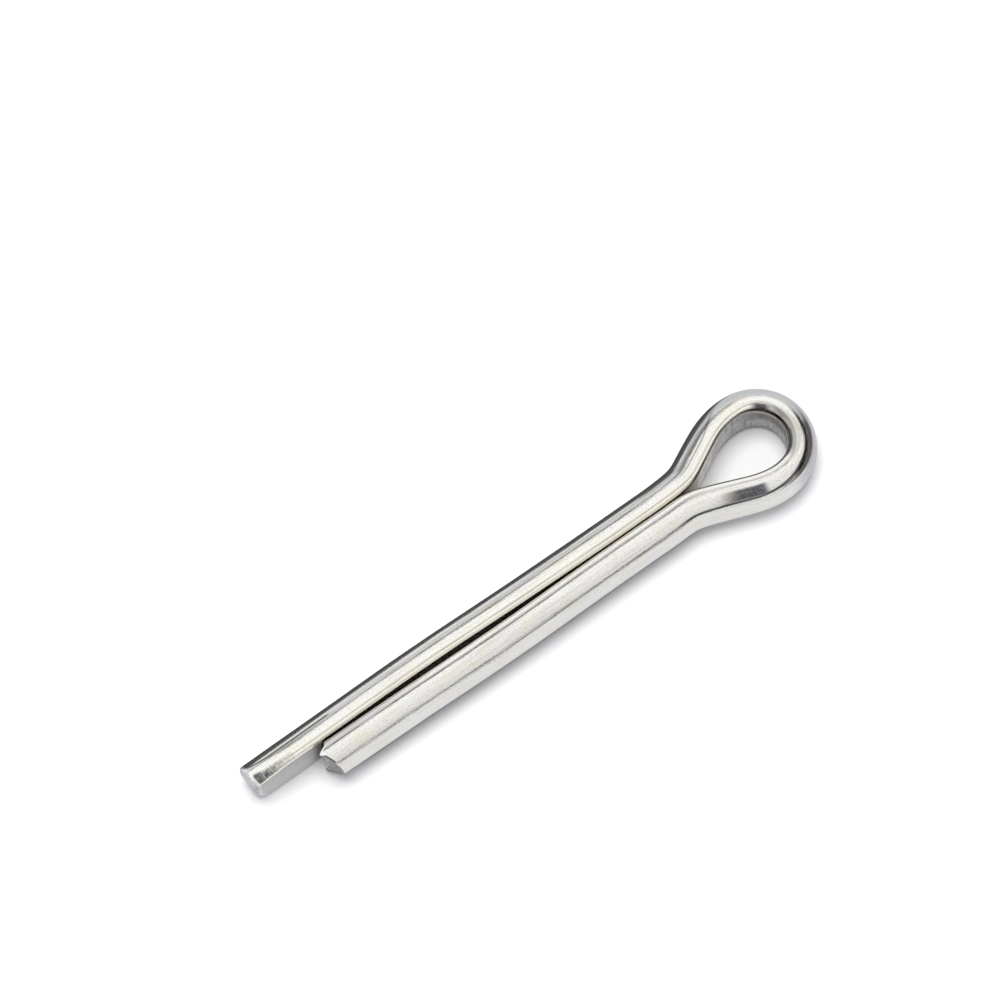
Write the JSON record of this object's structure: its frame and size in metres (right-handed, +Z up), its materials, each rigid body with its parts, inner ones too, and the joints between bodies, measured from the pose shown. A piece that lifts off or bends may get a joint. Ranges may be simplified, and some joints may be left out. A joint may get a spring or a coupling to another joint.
{
  "type": "split cotter pin",
  "caption": "Split cotter pin of half-round wire: two parallel legs of unequal length that open into a teardrop eye at the fold.",
  "frame": {"origin": "on the axis of the closed shank, at the neck, where the long leg starts to bend into the eye", "axes": "X along the shank with the eye at +X and the cut ends at -X, +Y towards the long leg, +Z up from the surface that the pin lies on, with the eye flat on it"},
  "size_m": [0.0368, 0.0066, 0.0036],
  "materials": {
    "steel": "bright drawn stainless wire, fine lengthwise draw lines"
  },
  "bodies": {
    "root": {"cotter_pin": "steel"}
  },
  "joints": []
}
